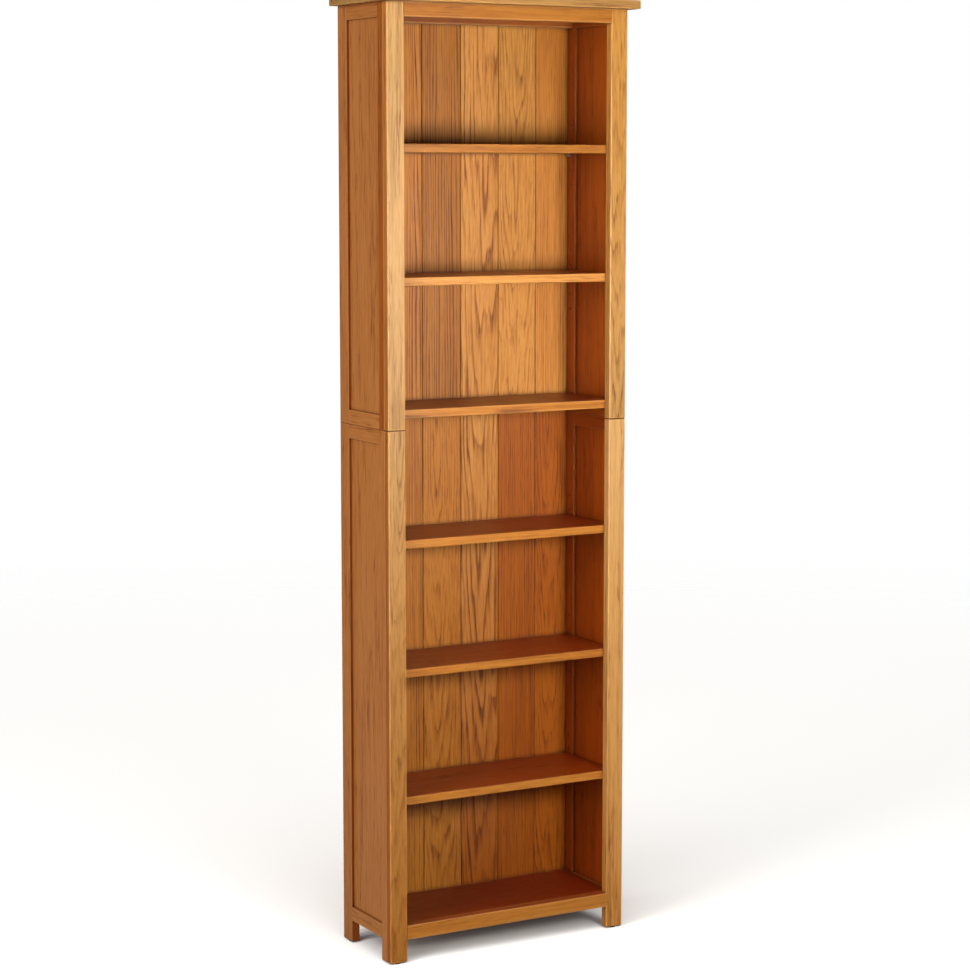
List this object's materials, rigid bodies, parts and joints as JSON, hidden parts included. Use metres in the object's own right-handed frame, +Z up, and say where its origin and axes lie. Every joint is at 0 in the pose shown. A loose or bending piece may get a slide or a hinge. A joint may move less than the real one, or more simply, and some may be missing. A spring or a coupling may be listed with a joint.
{
  "type": "bookcase with adjustable shelves",
  "caption": "Tall narrow solid oak bookcase in two stacked units, with a face frame, panelled sides, a tongue-and-groove back and loose shelves on pins.",
  "frame": {"origin": "on the floor, under the middle of the top board", "axes": "+Z up; the open front faces -Y and the back stands against a wall at +Y; +X to the right as seen from the front"},
  "size_m": [0.61, 0.24, 2],
  "materials": {
    "frame_oak": "satin lacquered solid oak, honey stain",
    "back_oak": "satin lacquered oak boards, honey stain",
    "steel": "zinc plated",
    "black_plastic": "moulded, matt",
    "dowel_beech": "plain turned beech"
  },
  "bodies": {
    "carcass": {"back_screws": "steel", "foot_glides": "black_plastic", "lower_back_board_1": "back_oak", "lower_back_board_2": "back_oak", "lower_back_board_3": "back_oak", "lower_back_board_4": "back_oak", "lower_back_board_5": "back_oak", "lower_back_board_6": "back_oak", "lower_bottom_board": "frame_oak", "lower_face_bottom_rail": "frame_oak", "lower_left_face_stile": "frame_oak", "lower_left_side_bottom_rail": "frame_oak", "lower_left_side_front_stile": "frame_oak", "lower_left_side_panel": "frame_oak", "lower_left_side_rear_stile": "frame_oak", "lower_left_side_top_rail": "frame_oak", "lower_right_face_stile": "frame_oak", "lower_right_side_bottom_rail": "frame_oak", "lower_right_side_front_stile": "frame_oak", "lower_right_side_panel": "frame_oak", "lower_right_side_rear_stile": "frame_oak", "lower_right_side_top_rail": "frame_oak", "top_board": "frame_oak", "unit_dowels": "dowel_beech", "upper_back_board_1": "back_oak", "upper_back_board_2": "back_oak", "upper_back_board_3": "back_oak", "upper_back_board_4": "back_oak", "upper_back_board_5": "back_oak", "upper_back_board_6": "back_oak", "upper_bottom_board": "frame_oak", "upper_face_top_rail": "frame_oak", "upper_left_face_stile": "frame_oak", "upper_left_side_bottom_rail": "frame_oak", "upper_left_side_front_stile": "frame_oak", "upper_left_side_panel": "frame_oak", "upper_left_side_rear_stile": "frame_oak", "upper_left_side_top_rail": "frame_oak", "upper_rear_top_rail": "frame_oak", "upper_right_face_stile": "frame_oak", "upper_right_side_bottom_rail": "frame_oak", "upper_right_side_front_stile": "frame_oak", "upper_right_side_panel": "frame_oak", "upper_right_side_rear_stile": "frame_oak", "upper_right_side_top_rail": "frame_oak"},
    "shelf_1": {"shelf_1": "frame_oak"},
    "shelf_1_left_pins": {"shelf_1_left_pins": "steel"},
    "shelf_1_right_pins": {"shelf_1_right_pins": "steel"},
    "shelf_2": {"shelf_2": "frame_oak"},
    "shelf_2_left_pins": {"shelf_2_left_pins": "steel"},
    "shelf_2_right_pins": {"shelf_2_right_pins": "steel"},
    "shelf_3": {"shelf_3": "frame_oak"},
    "shelf_3_left_pins": {"shelf_3_left_pins": "steel"},
    "shelf_3_right_pins": {"shelf_3_right_pins": "steel"},
    "shelf_4": {"shelf_4": "frame_oak"},
    "shelf_4_left_pins": {"shelf_4_left_pins": "steel"},
    "shelf_4_right_pins": {"shelf_4_right_pins": "steel"},
    "shelf_5": {"shelf_5": "frame_oak"},
    "shelf_5_left_pins": {"shelf_5_left_pins": "steel"},
    "shelf_5_right_pins": {"shelf_5_right_pins": "steel"}
  },
  "joints": [
    {"name": "shelf_1_lift", "type": "slide", "parent": "carcass", "child": "shelf_1", "axis": [0, 0, 1], "range_m": [0, 0.224]},
    {"name": "shelf_1_left_pins_pull", "type": "slide", "parent": "carcass", "child": "shelf_1_left_pins", "axis": [1, 0, 0], "range_m": [0, 0.012]},
    {"name": "shelf_1_right_pins_pull", "type": "slide", "parent": "carcass", "child": "shelf_1_right_pins", "axis": [-1, 0, 0], "range_m": [0, 0.012]},
    {"name": "shelf_2_lift", "type": "slide", "parent": "carcass", "child": "shelf_2", "axis": [0, 0, 1], "range_m": [0, 0.224]},
    {"name": "shelf_2_left_pins_pull", "type": "slide", "parent": "carcass", "child": "shelf_2_left_pins", "axis": [1, 0, 0], "range_m": [0, 0.012]},
    {"name": "shelf_2_right_pins_pull", "type": "slide", "parent": "carcass", "child": "shelf_2_right_pins", "axis": [-1, 0, 0], "range_m": [0, 0.012]},
    {"name": "shelf_3_lift", "type": "slide", "parent": "carcass", "child": "shelf_3", "axis": [0, 0, 1], "range_m": [0, 0.224]},
    {"name": "shelf_3_left_pins_pull", "type": "slide", "parent": "carcass", "child": "shelf_3_left_pins", "axis": [1, 0, 0], "range_m": [0, 0.012]},
    {"name": "shelf_3_right_pins_pull", "type": "slide", "parent": "carcass", "child": "shelf_3_right_pins", "axis": [-1, 0, 0], "range_m": [0, 0.012]},
    {"name": "shelf_4_lift", "type": "slide", "parent": "carcass", "child": "shelf_4", "axis": [0, 0, 1], "range_m": [0, 0.224]},
    {"name": "shelf_4_left_pins_pull", "type": "slide", "parent": "carcass", "child": "shelf_4_left_pins", "axis": [1, 0, 0], "range_m": [0, 0.012]},
    {"name": "shelf_4_right_pins_pull", "type": "slide", "parent": "carcass", "child": "shelf_4_right_pins", "axis": [-1, 0, 0], "range_m": [0, 0.012]},
    {"name": "shelf_5_lift", "type": "slide", "parent": "carcass", "child": "shelf_5", "axis": [0, 0, 1], "range_m": [0, 0.224]},
    {"name": "shelf_5_left_pins_pull", "type": "slide", "parent": "carcass", "child": "shelf_5_left_pins", "axis": [1, 0, 0], "range_m": [0, 0.012]},
    {"name": "shelf_5_right_pins_pull", "type": "slide", "parent": "carcass", "child": "shelf_5_right_pins", "axis": [-1, 0, 0], "range_m": [0, 0.012]}
  ]
}
